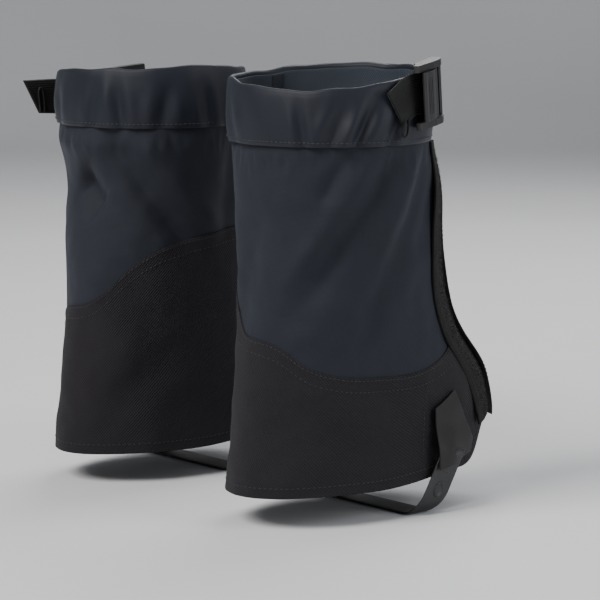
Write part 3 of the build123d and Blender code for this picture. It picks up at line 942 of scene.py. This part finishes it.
def leg_spot(z, sign, lift):
    """Point on the strap's outer face on its straight leg."""
    centre_y = INSTEP_PIVOT[0] - INSTEP_SETBACK * (INSTEP_PIVOT[1] - z) / INSTEP_PIVOT[1]
    return np.array([sign * (INSTEP_HALF + INSTEP_THICK / 2 + lift), centre_y, z])


def ring_on_leg(name, side, sign, z, profile, long_half, short_half, tilt):
    """Raised or sunk oval on the strap's leg from a profile of (size, lift) pairs."""
    centre = leg_spot(z, sign, 0)
    lean = radians(tilt)
    long_dir = np.array([0, sin(lean), cos(lean)])
    short_dir = np.array([0, cos(lean), -sin(lean)])
    vertices, faces = [], []
    sides = 36
    for size, lift in profile:
        for k in range(sides):
            turn = 2 * pi * k / sides
            spot = centre + long_dir * cos(turn) * long_half * size
            spot = spot + short_dir * sin(turn) * short_half * size
            spot = spot + np.array([sign * lift, 0, 0])
            vertices.append(place_spot(side, spot))
    faces = grid_faces(len(profile), sides, closed=True)
    faces.append(tuple(range(sides)))
    faces.append(tuple((len(profile) - 1) * sides + k for k in reversed(range(sides))))
    piece = mesh_piece(name, vertices, faces)
    fix_normals(piece)
    return piece


def oval_boss(name, side, sign):
    profile = [(1.0, -0.4), (1.0, 0.25), (0.93, 0.5), (0.84, 0.5), (0.78, 0.22), (0.3, 0.2), (0.05, 0.2)]
    return ring_on_leg(name, side, sign, 15.5, profile, 5.2, 3.4, 32)


def strap_slot(name, side, sign):
    profile = [(1.0, -0.5), (1.0, 0.06), (0.8, 0.1), (0.1, 0.1)]
    return ring_on_leg(name, side, sign, 26.0, profile, 3.2, 1.0, -62)


def build_patch(side, label, sign):
    """Anchor patch that covers the instep strap's end, with stitched edges."""
    rows, columns = 60, 40
    up = np.linspace(0, 1, rows)[:, None]
    across = np.linspace(0, 1, columns)[None, :]
    rear_edge = lambda z: np.interp(z, [24, 66], [44.2, 45.2])
    front_edge = lambda z: np.interp(z, [22, 28, 41, 74], [71, 76, 84, 65])
    top = lambda a: np.interp(a, [0, 1], [65, 74])
    low = 27.5 + 5.5 * across
    heights = low + (top(across) - low) * up
    y = rear_edge(heights) + (front_edge(heights) - rear_edge(heights)) * across
    bulge = 4.6 * (1 - step(heights, 37, 56)) * np.exp(-(((y - 53) / 15) ** 2))
    lift = 1.9 + bulge
    reach = TOE(heights) - WIDEST(heights) + lift
    x = (HALF_WIDTH(heights) + lift) * np.sqrt(np.clip(1 - ((y - WIDEST(heights)) / reach) ** 2, 0.02, 1))
    flat = np.stack([y.ravel() / 30, heights.ravel() / 30, np.full(y.size, 2.0 * sign)], 1)
    x = x + 0.4 * ripple(flat, 2.4, 6.0).reshape(x.shape)
    points = place(side, sign * x, y, heights)
    shape_side = side if sign > 0 else ("left" if side == "right" else "right")
    piece = sheet_piece(f"{side}_patch_{label}", points, flat_uv(y, heights), 1.0, shape_side)
    finish_piece(piece, COATED, f"{side}_gaiter")
    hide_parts(f"{side}_anchor_patch_{label}", f"{side}_strap_rivet_{label}")
    inset = 2
    line = np.concatenate([
        points[inset:-inset, inset],
        points[-inset - 1, inset:-inset],
        points[-inset - 1:inset:-1, -inset - 1],
    ])
    normals = np.tile([SIDES[side] * sign * 0.97, 0.2, 0.0], (len(line), 1))
    line = line + normals * 0.1 * MM
    stitch_row(f"{side}_patch_stitches_{label}", line, normals, DARK_THREAD, f"{side}_gaiter", pitch=2.9,
               slot="coated_fabric")


# ---- small moulded details of the buckle
BUCKLE_ANGLE = 22.0
BUCKLE_TILT = 7.0


def buckle_spot(side, x, y, z):
    """World point of a place drawn in the buckle's own frame about +X."""
    tilt, turn = radians(BUCKLE_TILT), radians(BUCKLE_ANGLE)
    y, z = y * cos(tilt) - z * sin(tilt), y * sin(tilt) + z * cos(tilt)
    x, y = x * cos(turn) - y * sin(turn), x * sin(turn) + y * cos(turn)
    return place_spot(side, (x, y, z + STRAP_HEIGHTS[side]))


def build_lever_ridges(side):
    """Three grip ridges across the lever, near its thumb edge."""
    for number, (x, y) in enumerate([(71.75, -5.6), (71.8, -7.8), (71.75, -10.0)]):
        sections = []
        for k in range(13):
            along = -1 + k / 6
            size = 0.55 * (1 - along**6) ** 0.5 + 0.05
            ring = [
                buckle_spot(side, x + size * cos(a) * 0.8, y + size * sin(a), 12.2 * along)
                for a in np.linspace(0, 2 * pi, 11)[:-1]
            ]
            sections.append(ring)
        piece = rings_piece(f"{side}_lever_ridge_{number}", sections)
        finish_piece(piece, BUCKLE, f"{side}_lever")


# ---- hard parts that keep their CAD shape
KEPT = {
    "buckle_frame": BUCKLE,
    "cam_lever": BUCKLE,
    "buckle_pin": METAL,
    "buckle_tab": WEBBING,
    "lace_tab": WEBBING,
    "lace_hook": METAL,
    "lace_rivet": METAL,
}


def paint_kept(side):
    """Materials of the CAD nodes that stay in view."""
    for name, material in KEPT.items():
        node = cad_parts[f"{side}_{name}"]
        for material_slot in node.material_slots:
            material_slot.material = material


# ---- stage, light and camera
def build_stage():
    mesh = bpy.data.meshes.new("floor")
    size, depth, radius = 6.0, 3.0, 0.6
    profile = [(-size, 0.0), (depth - radius, 0.0)]
    profile += [
        (depth - radius + radius * sin(a), radius - radius * cos(a)) for a in np.linspace(0, pi / 2, 13)[1:]
    ]
    profile.append((depth, 4.0))
    vertices = [(x, y, z) for y, z in profile for x in (-size, size)]
    faces = [(2 * k, 2 * k + 1, 2 * k + 3, 2 * k + 2) for k in range(len(profile) - 1)]
    mesh.from_pydata(vertices, [], faces)
    mesh.polygons.foreach_set("use_smooth", [True] * len(mesh.polygons))
    floor = bpy.data.objects.new("floor", mesh)
    floor.rotation_euler = (0, 0, radians(CAMERA_AZIMUTH))
    bpy.context.scene.collection.objects.link(floor)
    material, tree, shader = new_material("pale_floor")
    solid = add(tree, "ShaderNodeTexCoord").outputs["Object"]
    cloud = noise_of(tree, solid, 3.0, 3.0)
    two_tone(tree, shader, cloud, (0.60, 0.60, 0.61), (0.66, 0.66, 0.67))
    shader.inputs["Roughness"].default_value = 0.9
    floor.data.materials.append(material)


def area_light(name, place_at, size, power, colour):
    light = bpy.data.lights.new(name, "AREA")
    light.shape = "RECTANGLE"
    light.size, light.size_y = size
    light.energy = power
    light.color = colour
    lamp = bpy.data.objects.new(name, light)
    lamp.location = place_at
    aim = Vector((0, 0, 0.13)) - Vector(place_at)
    lamp.rotation_euler = aim.to_track_quat("-Z", "Y").to_euler()
    bpy.context.scene.collection.objects.link(lamp)


CAMERA_AZIMUTH = 50.0
CAMERA_PITCH = 8.1
CAMERA_DISTANCE = 1.8
CAMERA_SIDE = 0.0394
CAMERA_HEIGHT = 0.3774
CAMERA_LENS = 172.4


def build_camera_and_lights():
    forward = Vector((-sin(radians(CAMERA_AZIMUTH)), cos(radians(CAMERA_AZIMUTH)), 0))
    right = Vector((cos(radians(CAMERA_AZIMUTH)), sin(radians(CAMERA_AZIMUTH)), 0))
    data = bpy.data.cameras.new("camera")
    data.lens = CAMERA_LENS
    data.sensor_width = 36.0
    camera = bpy.data.objects.new("camera", data)
    camera.location = -forward * CAMERA_DISTANCE + right * CAMERA_SIDE + Vector((0, 0, CAMERA_HEIGHT))
    look = forward * cos(radians(CAMERA_PITCH)) - Vector((0, 0, sin(radians(CAMERA_PITCH))))
    camera.rotation_euler = look.to_track_quat("-Z", "Y").to_euler()
    bpy.context.scene.collection.objects.link(camera)
    bpy.context.scene.camera = camera
    for name, side_shift, back, high, size, power, colour in LIGHTS:
        spot = right * side_shift - forward * back + Vector((0, 0, high))
        area_light(name, spot, size, power, colour)
    world = bpy.data.worlds.new("studio")
    world.use_nodes = True
    world.node_tree.nodes["Background"].inputs["Color"].default_value = (0.85, 0.88, 0.92, 1)
    world.node_tree.nodes["Background"].inputs["Strength"].default_value = 0.3
    bpy.context.scene.world = world


LIGHTS = [
    ("key", -1.0, 0.9, 1.5, (0.9, 0.9), 46, (1.0, 0.99, 0.97)),
    ("fill", 1.5, 0.7, 0.7, (1.0, 1.2), 14, (0.94, 0.97, 1.0)),
    ("rim", 0.5, -1.2, 1.4, (1.2, 0.7), 22, (1.0, 1.0, 1.0)),
]


build_camera_and_lights()
build_stage()
for side in SIDES:
    build_shell(side)
    build_collar(side)
    build_front(side)
    build_top_strap(side)
    build_lever_ridges(side)
    build_instep_strap(side)
    build_patch(side, "lateral", 1)
    build_patch(side, "medial", -1)
    paint_kept(side)
